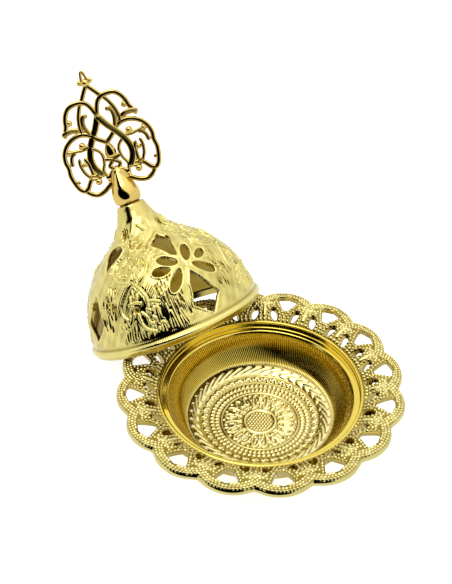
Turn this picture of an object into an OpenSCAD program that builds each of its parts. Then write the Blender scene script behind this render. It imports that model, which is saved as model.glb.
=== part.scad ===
// Lidded saucer-type incense burner: a bowl in a lobed, pierced collar, and a domed,
// pierced lid with an openwork crest. The lid is stored leaning beside the bowl.
// Millimetres, +Z up. The origin is on the table, under the centre of the bowl.

/* [Collar] */
// Radius over the tips of the lobes
collar_tip_r = 66.2; // [60:0.1:75]
// Radius in the notches between the lobes
collar_notch_r = 62.6; // [56:0.1:70]
// Number of lobes
lobes = 16; // [12:1:20]
// Turn of the collar's pattern about the bowl's axis, degrees
collar_turn = -1.3; // [-11:0.1:11]
// Height of the collar's rim above the seat for the lid
collar_rise = 7.7; // [5:0.1:10]
// Depth of the rolled edge
edge_t = 3.0; // [2:0.1:4]
// Sheet thickness of the collar
collar_t = 2.3; // [1.5:0.1:3.5]

/* [Bowl] */
// Height of the lid seat above the table
seat_z = 22.4; // [22.2:0.1:34]
// Outer radius of the lid seat
seat_r = 46.0; // [42:0.1:50]
// Width of the lid seat
seat_w = 3.0; // [2:0.1:5]
// Height of the wall that stands round the lid seat
seat_wall = 3.0; // [1.5:0.1:5]
// Radius of the embossed floor
floor_r = 34.0; // [28:0.5:38]
// Depth of the floor's rim below the seat
floor_drop = 14.1; // [10:0.1:20]
// Depth of the middle of the floor below the seat
dish_drop = 19.8; // [15:0.1:21]

/* [Foot] */
// Outer radius of the foot ring
foot_r = 30.0; // [24:0.5:36]
// Thickness of the felt disc under the foot
felt_t = 0.8; // [0.5:0.1:1]

/* [Lid] */
// Size of the finished lid against the sizes below, for the casting's shrinkage
lid_scale = 0.984; // [0.97:0.001:1.01]
// Radius of the lid's open rim
lid_r = 44.2; // [42:0.1:45]
// Wall thickness of the dome
dome_t = 1.8; // [1.2:0.1:2.5]
// Height of the dome from its rim to the joint under the knob
dome_h = 65.4; // [55:0.1:75]
// Number of pierced motifs round the dome, every second one with petals
motifs = 4; // [2:2:6]
// Turn of the first pierced motif from the crest's face, degrees
motif_turn = 27.5; // [0:0.5:60]

/* [Crest] */
// Thickness of the openwork crest
crest_t = 2.6; // [1.8:0.1:3.5]
// Turn of the crest about the lid's axis, degrees
crest_turn = -3; // [-20:1:20]
// Lean of the crest in its own plane, degrees
crest_lean = 1.3; // [-3:0.1:3]

/* [Resting lid] */
// Lean of the lid's axis from upright, degrees
lean_tilt = 32.8; // [20:0.1:40]
// Compass direction that the lid leans towards, degrees from +X
lean_dir = 132.5; // [0:0.1:360]
// Centre of the lid's rim, left of the bowl's axis
lean_left = 42.3; // [38:0.1:60]
// Centre of the lid's rim, behind the bowl's axis
lean_back = 46.5; // [40:0.1:60]

/* [Hidden] */
$fn = 96;
EPS = 0.01;

// collar
pitch = 360 / lobes;
notch = [collar_notch_r * cos(pitch / 2), collar_notch_r * sin(pitch / 2)];
lobe_sag = collar_tip_r - notch[0];
lobe_r = (lobe_sag * lobe_sag + notch[1] * notch[1]) / (2 * lobe_sag);
lobe_c = collar_tip_r - lobe_r;
hub_r = seat_r + 1.5;           // the collar's inner edge, outside the seat wall
edge_z = collar_rise - edge_t;
top_line = [[hub_r, seat_wall], [50.6, 5.0], [54.4, 6.7], [57.6, 7.2], [62.5, 7.5],
            [64.2, collar_rise], [65.4, collar_rise - 0.5], [66.2, collar_rise - 1.5],
            [67.6, collar_rise - 1.9]];
under_line = [[67.6, edge_z], [64.0, edge_z], [63.0, 7.5 - collar_t], [57.6, 7.2 - collar_t],
              [54.4, 6.7 - collar_t], [52.4, 5.7 - collar_t], [50.8, -0.4], [hub_r, -0.4]];
collar_section = [for (p = concat(top_line, under_line)) [p[0], seat_z + p[1]]];
tri = [[53.2, -1.3], [59.4, -5.0], [60.6, -4.8], [61.4, -1.8], [62.0, 0],
       [61.4, 1.8], [60.6, 4.8], [59.4, 5.0], [53.2, 1.3]];
oval_l = 6.2;
oval_w = 3.3;
oval_r = 50.9;
oval_off = 5.4;                 // degrees each side of the notch
oval_lean = 24;

// bowl
seat_in = seat_r - seat_w;
bowl_line = [[seat_r + 1.4, seat_wall], [seat_r + 0.9, seat_wall + 0.3], [seat_r, seat_wall],
             [seat_r, 0], [seat_in + 0.4, 0], [seat_in, -0.4], [seat_in - 0.5, -1.2],
             [seat_in - 1.2, -4], [seat_in - 3, -8], [seat_in - 5.6, -11.4],
             [floor_r + 1.2, -floor_drop + 0.6], [floor_r, -floor_drop], [22.4, -18.3],
             [10, -19.4], [0, -dish_drop]];
shell_line = [[0, -21.3], [10, -20.9], [22.8, -19.8], [floor_r + 1, -15.8],
              [seat_in - 4.2, -12.6], [seat_in - 1.3, -8.6], [seat_in + 0.7, -4.2],
              [seat_in + 1.2, -2.2], [50.4, -2.2], [50.4, -0.4], [seat_r + 1.4, -0.4]];
bowl_section = [for (p = concat(bowl_line, shell_line)) [p[0], seat_z + p[1]]];

// foot ring, soldered under the bowl
function under(r) = seat_z - 19.8 + (r - 22.8) * 4.0 / (floor_r + 1 - 22.8);
foot_section = [[foot_r - 5.6, felt_t], [foot_r - 0.4, felt_t], [foot_r, felt_t + 0.5],
                [foot_r - 0.5, felt_t + 1.3], [foot_r - 1.8, felt_t + 2.1],
                [foot_r - 2.2, under(foot_r - 2.2)], [foot_r - 5.6, under(foot_r - 5.6)]];

// lid, drawn upright with its rim on z = 0
dome_line = [[lid_r - 0.6, 0], [lid_r, 0.3], [44.8, 1.6], [45.1, 3.2], [44.6, 4.4],
             [43.9, 6.8], [43.1, 10.2], [42.3, 12.8], [41.5, 17.4], [40.3, 21.8], [38.8, 25.8],
             [36.6, 30.0], [34.2, 33.4], [31.2, 37.0], [27.4, 40.8], [23.2, 44.1],
             [18.6, 47.3], [15.0, 50.6], [12.2, 54.2], [10.0, 58.0], [8.3, 61.8],
             [7.1, dome_h - 0.4], [6.3, dome_h]];
cave_line = [[2.2, 56.6], [5.4, 56.6], [9.4, 55.4], [10.6, 53.3], [13.4, 49.1], [17.0, 45.7],
             [21.9, 42.3], [26.0, 39.1], [29.8, 35.1], [32.6, 31.7], [34.9, 28.5],
             [36.9, 24.9], [38.4, 21.3], [39.6, 17.1], [40.5, 12.5], [41.2, 10.0],
             [42.0, 6.5], [42.4, 3.1], [42.4, 0]];
dome_section = concat(dome_line, [[2.2, dome_h]], cave_line);
knob_line = [[5.2, dome_h], [5.2, dome_h + 0.5], [6.2, dome_h + 1.0], [6.9, dome_h + 2.6],
             [7.1, dome_h + 4.6], [6.9, dome_h + 6.6], [6.2, dome_h + 9.0],
             [5.1, dome_h + 11.4], [3.9, dome_h + 13.8], [2.5, dome_h + 16.4],
             [1.2, dome_h + 18.4], [0, dome_h + 19.2]];
lid_screw_r = 2.0;
socket_top = dome_h + 9;

// outer radius of the dome at a height, for placing the piercings
dome_rz = [for (p = dome_line) [p[1], p[0]]];
function dome_r(h) = lookup(h, dome_rz);
function on_dome(p) = [dome_r(p[1]) * sin(p[0]), p[1]];
function flip(pts) = [for (p = pts) [-p[0], p[1]]];
function whole(pts) = concat(pts, [for (i = [len(pts) - 1:-1:0]) if (pts[i][0] > 0)
                                   [-pts[i][0], pts[i][1]]]);

// piercings: [degrees from the motif's middle, height above the rim]
fan_a = [[-19.1, 44.8], [-13.4, 46.4], [-9.3, 46.8], [-6.1, 47.8], [-1.9, 48.3], [-0.6, 47.2],
         [4.7, 45.9], [8.6, 46.5], [9.2, 45.4], [7.1, 44.5], [3.2, 42.6], [1.6, 40.5],
         [-0.2, 38.1], [-2.2, 37.2], [-6.5, 38.5], [-8.7, 40.5], [-15.3, 43.6]];
spear_a = [[-0.5, 28.7], [3.6, 24.5], [7.1, 19.3], [9.8, 16.6], [10.8, 14.1], [8.7, 13.1],
           [3.8, 9.5], [1.0, 7.0], [-4.6, 10.5], [-9.6, 13.9], [-6.8, 18.5], [-5.0, 24.0]];
fan_b = [[-2, 46.5], [6, 48.2], [14, 48.8], [22, 48.3], [29, 46.5], [26.6, 44.8], [21.6, 43.2],
         [17, 41.4], [13, 39.4], [10.5, 41.4], [7, 43.6], [1.5, 45.3]];
spear_b = [[5.4, 30.8], [8.6, 28.2], [10.9, 24.0], [13.6, 17.7], [10.2, 14.6], [1.6, 9.8],
           [-2.2, 13.1], [-9.8, 18.0], [-1.4, 24.2], [1.6, 28.2]];
petals = [[[-4.8, 34.4], [-20.6, 38.0], 4.4], [[-13.4, 33.0], [-28.0, 33.1], 3.9],
          [[-6.6, 31.4], [-18.8, 22.9], 4.6], [[1.9, 33.6], [12.7, 39.8], 4.4],
          [[10.6, 32.9], [22.6, 34.4], 3.6], [[4.6, 31.3], [17.8, 23.9], 4.4]];

// petal-shaped outline from a to b, w wide, rounder at the b end
function petal(a, b, w) = let (d = b - a, n = [-d[1], d[0]] / norm(d)) [
    for (k = [0:30:330]) let (t = (1 - cos(k)) / 2)
        a + d * t + n * w / 2 * sin(k) * (0.8 + 0.3 * t)];

// crest: right-hand strokes as [width, [points]], and knobs as [x, z, radius]
strokes = [
    // tip loop and the rods down to the arches
    [1.6, [[-0.5, 133.6], [0.5, 132.9], [1, 131.3], [1.5, 128.7]]],
    [2.5, [[-0.8, 126.7], [1, 125.3], [3.1, 122.5], [5.1, 119.6]]],
    // upper arch and its outward leaf
    [2.6, [[0, 110.4], [0.6, 113], [1.5, 115.6], [2.9, 118], [5.3, 119.5], [8.5, 119.9],
           [11.9, 119.1], [14.3, 116.8], [15.7, 113.8], [16.4, 110.8], [17.9, 108.6]]],
    [2.9, [[10.3, 106.6], [13, 108], [16.2, 108.2], [19.9, 107.3]]],
    // rod and leaf inside the upper arch
    [2.2, [[5.9, 119], [7.8, 115.8], [9.4, 111.8], [10.1, 106.8], [8.9, 104.6]]],
    [2.3, [[4.5, 112.6], [6.5, 112.8], [7.7, 111], [7.8, 108], [6.9, 104.6], [7.3, 102.9]]],
    // crossing ribbon
    [3.6, [[-0.6, 111.8], [0.6, 109.8], [3.1, 105.6], [5.9, 101.9], [8.6, 97.7],
           [10.3, 93.1], [10.3, 89.3], [8.8, 85.8], [6.3, 82.6]]],
    // lower arch, from the middle round to its bottom curl
    [2.6, [[-0.8, 97.2], [3.5, 100.3], [7.1, 103.6], [11.2, 105.1], [15.4, 104.5],
           [19.3, 102.2], [21.7, 98.9], [22.6, 95.1], [22.2, 91.7], [22.6, 88.1],
           [21.9, 84], [20.6, 80.4], [18.6, 78.8], [16.5, 79.6], [14.8, 81.8], [13, 83.8]]],
    // curls inside the lower arch
    [2, [[19.3, 98.7], [16.2, 98.3], [12.8, 97.9], [10.3, 98.3], [8.5, 98.9]]],
    [2.2, [[19.9, 91.7], [19.5, 94.9], [18.1, 97.1], [15.8, 98.1]]],
    [1.8, [[22.1, 83.8], [20.3, 84], [19.3, 83]]],
    // tulip
    [2, [[15.6, 94.7], [16.3, 91.3], [15.5, 87.2], [13.6, 84]]],
    [2.2, [[13.5, 94.1], [12.2, 91.1], [11.9, 87.7], [11.9, 84.2]]],
    [2.6, [[7.3, 84], [10.7, 83.4], [14, 84.2]]],
    // bottom arc and the strap to the knob
    [2.6, [[18.3, 79], [16.6, 76.8], [14.2, 75.2], [11.5, 75], [8.1, 76.2], [4.1, 79]]],
    [2.9, [[0, 84], [2.5, 83], [4.7, 81.4], [6.3, 82.6]]],
    // inner strut and the tie under the bud
    [2, [[8.7, 97.7], [5.3, 94.9], [4.3, 91.9], [4.9, 88.3], [6.3, 85.2], [5.5, 81.6]]],
    [2.2, [[-4.9, 90.5], [-1, 89.1], [2.7, 86.4], [0.6, 84.2]]],
];
knobs = [[2.6, 128.3, 1.5], [14.2, 112.2, 1.7], [12.2, 99.9, 1.9], [19.4, 98.7, 1.7],
         [10.5, 81, 1.9], [14, 90.9, 1.4], [18.3, 106.8, 1.2], [4.9, 79.8, 1.4]];
bud = whole([[0, 98.7], [1.7, 96.3], [2.7, 93.5], [2.4, 90.9], [0, 88.9]]);
saddle = whole([[0, 85.2], [1.8, 83.8], [3.9, 81.8], [5.1, 79.4], [3.9, 77.6], [0, 77.6]]);

// Catmull-Rom curve through points, and the outline of a band along it
function at(p, i) = p[min(max(i, 0), len(p) - 1)];
function bend(a, b, c, d, t) = (2 * b + (c - a) * t + (2 * a - 5 * b + 4 * c - d) * t * t
                                + (3 * b - a - 3 * c + d) * t * t * t) / 2;
function curve(p) = concat([for (i = [0:len(p) - 2]) for (t = [0, 0.5])
                            bend(at(p, i - 1), p[i], p[i + 1], at(p, i + 2), t)],
                           [p[len(p) - 1]]);
function side(c, i) = let (d = at(c, i + 1) - at(c, i - 1)) [-d[1], d[0]] / norm(d);
function band(p, w) = let (c = curve(p), n = len(c) - 1) concat(
    [for (i = [0:n]) c[i] + side(c, i) * w / 2],
    [for (i = [n:-1:0]) c[i] - side(c, i) * w / 2]);

// resting lid: its rim's lowest point is on the table
lean_z = lid_scale * (lid_r * sin(lean_tilt) - 0.3 * cos(lean_tilt));
lean_spin = -121.1;             // turns the crest's face to the front

module lean() {
    translate([-lean_left, lean_back, lean_z])
        rotate([0, 0, lean_dir]) rotate([0, lean_tilt, 0]) rotate([0, 0, lean_spin])
            scale(lid_scale) children();
}

module lobed(r, z, h) {
    reach = asin(notch[1] / lobe_r);
    steps = [-1:0.25:0.75];
    translate([0, 0, z]) linear_extrude(h) polygon([
        for (i = [0:lobes - 1]) for (k = steps)
            let (a = (i + 0.5) * pitch, b = a + k * reach)
            [lobe_c * cos(a) + r * cos(b), lobe_c * sin(a) + r * sin(b)]]);
}

module piercing_pair() {
    for (s = [-1, 1])
        rotate([0, 0, s * oval_off]) translate([oval_r, 0, seat_z - 3])
            rotate([0, 0, -s * oval_lean])
                linear_extrude(12) polygon([for (a = [0:22.5:359])
                                            [oval_l / 2 * cos(a), oval_w / 2 * sin(a)]]);
}

// pierced collar with lobed, rolled edge
module collar() {
    color([0.86, 0.80, 0.42]) rotate([0, 0, collar_turn]) difference() {
        intersection() {
            rotate_extrude() polygon(collar_section);
            lobed(lobe_r, seat_z - 5, 20);
        }
        for (i = [0:lobes - 1]) {
            rotate([0, 0, (i + 0.5) * pitch]) translate([0, 0, seat_z - 3])
                linear_extrude(12) polygon(tri);
            rotate([0, 0, i * pitch]) piercing_pair();
        }
    }
}

// bowl with the lid's seat
module bowl() {
    color([0.85, 0.70, 0.22]) rotate_extrude() polygon(bowl_section);
}

// turned foot ring
module foot() {
    color([0.84, 0.72, 0.30]) rotate_extrude() polygon(foot_section);
}

module base_felt() {
    color([0.08, 0.16, 0.10]) cylinder(r = foot_r - 1, h = felt_t);
}

module through_dome(outline) {
    translate([0, -9, 0]) rotate([90, 0, 0]) linear_extrude(45) polygon(outline);
}

module motif(petalled) {
    through_dome([for (p = petalled ? fan_a : fan_b) on_dome(p)]);
    through_dome([for (p = petalled ? spear_a : spear_b) on_dome(p)]);
    if (petalled) for (p = petals) through_dome(petal(on_dome(p[0]), on_dome(p[1]), p[2]));
}

// pierced onion dome
module lid_dome() {
    color([0.84, 0.79, 0.44]) lean() difference() {
        rotate_extrude() polygon(dome_section);
        for (i = [0:motifs - 1])
            rotate([0, 0, motif_turn + i * 360 / motifs]) motif(i % 2 == 0);
    }
}

// screw up through the dome's neck into the knob
module lid_screw() {
    color([0.75, 0.75, 0.76]) lean() difference() {
        union() {
            translate([0, 0, 54.0]) cylinder(r = 3.8, h = 2.0);
            translate([0, 0, 55.9]) cylinder(r = lid_screw_r, h = socket_top - 56.4);
        }
        translate([-2.9, -0.4, 53.9]) cube([5.8, 0.8, 1.1]);
    }
}

module lid_washer() {
    color([0.72, 0.72, 0.73]) lean() translate([0, 0, 56.0]) difference() {
        cylinder(r = 4.8, h = 0.6);
        translate([0, 0, -1]) cylinder(r = lid_screw_r + 0.15, h = 3);
    }
}

module knob_body() {
    rotate_extrude() polygon(concat([[0, dome_h]], knob_line));
}

// acorn-shaped knob with a blind socket
module finial_knob() {
    color([0.86, 0.66, 0.24]) lean() difference() {
        knob_body();
        translate([0, 0, dome_h - 1]) cylinder(r = lid_screw_r + 0.05, h = socket_top - dome_h + 1);
    }
}

module slab(outline) {
    linear_extrude(crest_t) polygon(outline);
}

module disc(k) {
    translate([k[0], k[1], 0]) cylinder(r = k[2], h = crest_t);
}

module crest_plate() {
    for (s = strokes) {
        slab(band(s[1], s[0]));
        slab(flip(band(s[1], s[0])));
    }
    for (k = knobs) {
        disc(k);
        disc([-k[0], k[1], k[2]]);
    }
    slab(bud);
    slab(saddle);
    disc([0, 127.6, 2.2]);
}

// openwork crest that saddles the tip of the knob
module finial_crest() {
    color([0.84, 0.62, 0.20]) lean() difference() {
        rotate([0, 0, crest_turn]) rotate([90, 0, 0]) translate([0.3, 79.4, -crest_t / 2])
            rotate([0, 0, -crest_lean]) translate([0, -80, 0]) crest_plate();
        knob_body();
    }
}

collar();
bowl();
foot();
base_felt();
lid_dome();
lid_screw();
lid_washer();
finial_knob();
finial_crest();
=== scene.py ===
"""Lidded saucer incense burner in gold-plated brass: the visual model over the CAD frame.

Lengths are in millimetres until a mesh is made. The origin is on the table under the
middle of the bowl, +Z is up, and the lid leans at the back left.
"""
import math

import bpy
import numpy as np
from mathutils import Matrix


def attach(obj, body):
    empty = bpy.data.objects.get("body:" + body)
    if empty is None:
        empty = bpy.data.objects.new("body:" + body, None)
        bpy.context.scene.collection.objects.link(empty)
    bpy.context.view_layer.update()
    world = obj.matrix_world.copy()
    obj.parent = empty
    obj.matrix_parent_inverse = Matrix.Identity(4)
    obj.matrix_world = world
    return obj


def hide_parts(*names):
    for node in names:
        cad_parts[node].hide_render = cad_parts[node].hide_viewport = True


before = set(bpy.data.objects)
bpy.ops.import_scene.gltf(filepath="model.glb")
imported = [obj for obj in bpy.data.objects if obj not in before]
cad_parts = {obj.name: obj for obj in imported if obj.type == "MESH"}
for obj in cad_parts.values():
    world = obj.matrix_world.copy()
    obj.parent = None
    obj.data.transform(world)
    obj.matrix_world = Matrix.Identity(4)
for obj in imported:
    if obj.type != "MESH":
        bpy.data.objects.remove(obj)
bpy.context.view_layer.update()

MM = 0.001
SEAT_Z = 22.4           # the lid's seat
COLLAR_IN = 47.5        # inner edge of the collar
LOBE_TIP, NOTCH_R = 66.2, 62.6
LOBES = 16
PITCH = 2 * math.pi / LOBES

# ---------------------------------------------------------------- curves and fields


def smooth(points, per=8):
    """Catmull-Rom curve through the points, with `per` steps to each span."""
    p = np.array(points, float)
    q = np.vstack([2 * p[0] - p[1], p, 2 * p[-1] - p[-2]])
    t = np.arange(per)[:, None] / per
    spans = [
        0.5 * (2 * b + (c - a) * t + (2 * a - 5 * b + 4 * c - d) * t**2
               + (3 * b - a - 3 * c + d) * t**3)
        for a, b, c, d in zip(q, q[1:], q[2:], q[3:])
    ]
    return np.vstack(spans + [p[-1:]])


def length_along(curve):
    return np.concatenate([[0], np.cumsum(np.hypot(*np.diff(curve, axis=0).T))])


def evenly(curve, step):
    """The curve's points at an even spacing of about `step`."""
    s = length_along(curve)
    at = np.linspace(0, s[-1], max(2, round(s[-1] / step) + 1))
    return np.stack([np.interp(at, s, curve[:, k]) for k in (0, 1)], 1)


def rounded(points, radius, closed=False):
    """Turns each corner of a profile into a small arc, with a supporting point either side."""
    p = np.array(points, float)
    out = [] if closed else [p[0]]
    for i in range(len(p)) if closed else range(1, len(p) - 1):
        a, b, c = p[i - 1], p[i], p[(i + 1) % len(p)]
        u, v = a - b, c - b
        r = min(radius, 0.3 * np.hypot(*u), 0.3 * np.hypot(*v))
        u, v = u / np.hypot(*u), v / np.hypot(*v)
        out += [b + u * r * 1.6, b + u * r, b + (u + v) * r * 0.36 + u * r * 0.12,
                b + (u + v) * r * 0.36 + v * r * 0.12, b + v * r, b + v * r * 1.6]
    return np.array(out + ([out[0]] if closed else [p[-1]]))


def away(x, y, line):
    """Distance of each point from a polyline."""
    best = np.full(np.shape(x), 1e9)
    for a, b in zip(line[:-1], line[1:]):
        d = b - a
        t = np.clip(((x - a[0]) * d[0] + (y - a[1]) * d[1]) / max(d @ d, 1e-12), 0, 1)
        best = np.minimum(best, np.hypot(x - a[0] - t * d[0], y - a[1] - t * d[1]))
    return best


def outside(x, y, outline):
    """Distance of each point from a closed outline, negative inside it."""
    ring = np.vstack([outline, outline[:1]])
    odd = np.zeros(np.shape(x), bool)
    for a, b in zip(ring[:-1], ring[1:]):
        if a[1] != b[1]:
            at = a[0] + (y - a[1]) * (b[0] - a[0]) / (b[1] - a[1])
            odd ^= ((a[1] > y) != (b[1] > y)) & (x < at)
    d = away(x, y, ring)
    return np.where(odd, -d, d)


def about_z(a):
    c, s = math.cos(a), math.sin(a)
    return np.array([[c, -s, 0], [s, c, 0], [0, 0, 1]])


def about_y(a):
    c, s = math.cos(a), math.sin(a)
    return np.array([[c, 0, s], [0, 1, 0], [-s, 0, c]])


def dome(d, radius, height):
    """A rounded bump over distances d from its middle."""
    return height * np.clip(1 - (d / radius) ** 2, 0, 1) ** 0.75


def step(x, low, high):
    t = np.clip((x - low) / (high - low), 0, 1)
    return t * t * (3 - 2 * t)


# ---------------------------------------------------------------- meshes


def quads(cols, rows, wrap=True):
    """Four-sided faces of a grid of cols by rows points, numbered column by column."""
    n = np.arange(cols * rows).reshape(cols, rows)
    m = np.roll(n, -1, 0) if wrap else n[1:]
    n = n if wrap else n[:-1]
    return np.stack([n[:, :-1], m[:, :-1], m[:, 1:], n[:, 1:]], -1).reshape(-1, 4)


def normals(grid):
    """Unit normals of a closed ring of columns of points, from its own neighbours."""
    du = np.roll(grid, -1, 0) - np.roll(grid, 1, 0)
    n = np.cross(du, np.gradient(grid, axis=1))
    return n / np.maximum(np.linalg.norm(n, axis=-1, keepdims=True), 1e-12)


def cut_grid(keep, wrap=True):
    """Clips a grid where `keep` falls below zero. Each new point lies a share t of the way
    from grid point a to b; also gives the faces by size, and the rim's point pairs."""
    cols, rows = keep.shape
    total = cols * rows
    c0, c1, c2, c3 = quads(cols, rows, wrap).T
    slots = np.stack([c0, c1, c2, c3, total + c0, 2 * total + c1, total + c3, 2 * total + c0])
    k = keep.ravel()
    mask = sum((k[c] > 0) * bit for c, bit in ((c0, 1), (c1, 2), (c2, 4), (c3, 8)))
    faces, rims = [], []
    for m in range(1, 16):
        cells = mask == m
        if not cells.any():
            continue
        walk = []                   # the kept corners (0 to 3) and cut sides (4 to 7), in turn
        for n in range(4):
            here, ahead = m >> n & 1, m >> (n + 1) % 4 & 1
            walk += ([n] if here else []) + ([4 + n] if here != ahead else [])
        shapes = {5: [[0, 4, 7], [2, 6, 5]], 10: [[1, 5, 4], [3, 7, 6]]}.get(m, [walk])
        for shape in shapes:
            faces.append(np.stack([slots[c][cells] for c in shape], 1))
            for p, q in zip(shape, shape[1:] + shape[:1]):
                if p > 3 and q > 3:
                    rims.append(np.stack([slots[p][cells], slots[q][cells]], 1))
    used, back = np.unique(np.concatenate([f.ravel() for f in faces]), return_inverse=True)
    a = used % total
    b = np.where(used < total, a, np.where(used < 2 * total, (a + rows) % total, a + 1))
    b = np.minimum(b, total - 1)
    t = np.where(used < total, 0, k[a] / np.where(k[a] == k[b], 1, k[a] - k[b]))
    at, out = 0, []
    for f in faces:
        out.append(back[at:at + f.size].reshape(f.shape))
        at += f.size
    rim = np.searchsorted(used, np.vstack(rims)) if rims else np.zeros((0, 2), int)
    return a, b, np.clip(t, 0.01, 0.99) * (used >= total), out, rim


class Skin:
    """A mesh being gathered, with a relief value and surface coordinates at each point; a low
    relief value gives more painted shade in the gold.
    """

    def __init__(self):
        self.points, self.relief, self.turns, self.faces, self.total = [], [], [], [], 0

    def add(self, points, faces, relief=0.5, turns=None, flip=False):
        points = np.reshape(points, (-1, 3))
        n = len(points)
        self.points.append(points)
        self.relief.append(np.broadcast_to(np.ravel(relief), n) if np.size(relief) == 1
                           else np.ravel(relief))
        self.turns.append(np.zeros((n, 2)) if turns is None else np.reshape(turns, (-1, 2)))
        self.faces += [(f[:, ::-1] if flip else f) + self.total for f in faces if len(f)]
        self.total += n
        return self

    def grid(self, points, relief=0.5, turns=None, flip=False):
        cols, rows = points.shape[:2]
        return self.add(points, [quads(cols, rows)], relief, turns, flip)

    def cut(self, points, keep, back, relief, turns):
        """A grid clipped to `keep`, with walls down to the points `back`."""
        a, b, t, faces, rim = cut_grid(keep)

        def mix(field):
            f = field.reshape(keep.size, -1)
            return f[a] + t[:, None] * (f[b] - f[a])

        turn = turns.reshape(-1, 2)
        other = turn[b] + np.stack([np.round(turn[a, 0] - turn[b, 0]), 0 * a], 1)
        top = mix(points)
        self.add(top, faces, mix(relief), turn[a] + t[:, None] * (other - turn[a]))
        ids, ends = np.unique(rim, return_inverse=True)
        ends = ends.reshape(rim.shape)
        n = len(ids)
        walls = np.stack([ends[:, 0], ends[:, 0] + n, ends[:, 1] + n, ends[:, 1]], 1)
        # painted shade: the walls of the piercings take a relief value of 0.35, mostly the shaded
        # colour
        return self.add(np.vstack([top[ids], mix(back)[ids]]), [walls], 0.35)

    def piece(self, name, body, nodes, slot, material, place=None):
        co = np.vstack(self.points)
        co = (place(co) if place else co) * MM
        loops = np.concatenate([f.ravel() for f in self.faces])
        sizes = np.concatenate([np.full(len(f), f.shape[1]) for f in self.faces])
        starts = np.concatenate([[0], np.cumsum(sizes)[:-1]])
        mesh = bpy.data.meshes.new(name)
        mesh.vertices.add(len(co))
        mesh.vertices.foreach_set("co", co.astype(np.float32).ravel())
        mesh.loops.add(len(loops))
        mesh.loops.foreach_set("vertex_index", loops.astype(np.int32))
        mesh.polygons.add(len(sizes))
        mesh.polygons.foreach_set("loop_start", starts.astype(np.int32))
        mesh.update(calc_edges=True)
        mesh.shade_smooth()
        tone = mesh.attributes.new("relief", "FLOAT", "POINT")
        tone.data.foreach_set("value", np.concatenate(self.relief).astype(np.float32))
        uv = np.vstack(self.turns)[loops]
        first = np.repeat(uv[starts, 0], sizes)
        uv[:, 0] -= np.round(uv[:, 0] - first)  # faces that cross the seam stay whole
        mesh.uv_layers.new(name="turns").data.foreach_set("uv", uv.astype(np.float32).ravel())
        mesh.materials.append(material)
        made = bpy.data.objects.new(name, mesh)
        bpy.context.scene.collection.objects.link(made)
        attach(made, body)
        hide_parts(*nodes)


def lathe(profile, cols):
    """Grid of points from turning a profile of (radius, height) about the Z axis."""
    a = np.linspace(0, 2 * np.pi, cols, endpoint=False)[:, None]
    r, z = profile[:, 0], profile[:, 1]
    return np.stack([r * np.cos(a), r * np.sin(a), z + 0 * a], -1)


def spun(profile, cols):
    """Surface coordinates of a lathe: turns round the axis, and mm along the profile."""
    a = np.arange(cols)[:, None] / cols
    s = length_along(profile)
    return np.stack([a + 0 * s, s + 0 * a], -1)


# ---------------------------------------------------------------- materials


class Nodes:
    """Short forms for building a node tree."""

    def __init__(self, name):
        self.material = bpy.data.materials.new(name)
        self.material.use_nodes = True
        self.tree = self.material.node_tree
        self.shader = self.tree.nodes["Principled BSDF"]

    def add(self, kind, values=(), **settings):
        node = self.tree.nodes.new(kind)
        for key, value in settings.items():
            setattr(node, key, value)
        for socket, value in dict(values).items():
            if isinstance(value, bpy.types.NodeSocket):
                self.tree.links.new(value, node.inputs[socket])
            else:
                node.inputs[socket].default_value = value
        return node

    def math(self, operation, a, b=0.0, clamp=False):
        return self.add("ShaderNodeMath", {0: a, 1: b}, operation=operation,
                        use_clamp=clamp).outputs[0]

    def noise(self, scale, detail=3.0, where=None):
        values = {"Scale": scale, "Detail": detail}
        if where is not None:
            values["Vector"] = where
        return self.add("ShaderNodeTexNoise", values).outputs["Fac"]

    def span(self, value, low, high, to_low, to_high):
        return self.add("ShaderNodeMapRange", {
            "Value": value, "From Min": low, "From Max": high,
            "To Min": to_low, "To Max": to_high}).outputs["Result"]

    def mix(self, share, a, b):
        node = self.add("ShaderNodeMix", {"Factor": share}, data_type="RGBA")
        for socket, value in ((node.inputs[6], a), (node.inputs[7], b)):
            if isinstance(value, bpy.types.NodeSocket):
                self.tree.links.new(value, socket)
            else:
                socket.default_value = (*value, 1)
        return node.outputs[2]

    def bump(self, height, distance, strength=1.0, onto=None):
        values = {"Height": height, "Distance": distance, "Strength": strength}
        if onto is not None:
            values["Normal"] = onto
        return self.add("ShaderNodeBump", values).outputs["Normal"]

    def drive(self, **links):
        for socket, value in links.items():
            name = socket.replace("_", " ")
            if isinstance(value, bpy.types.NodeSocket):
                self.tree.links.new(value, self.shader.inputs[name])
            else:
                self.shader.inputs[name].default_value = value
        return self.material


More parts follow.
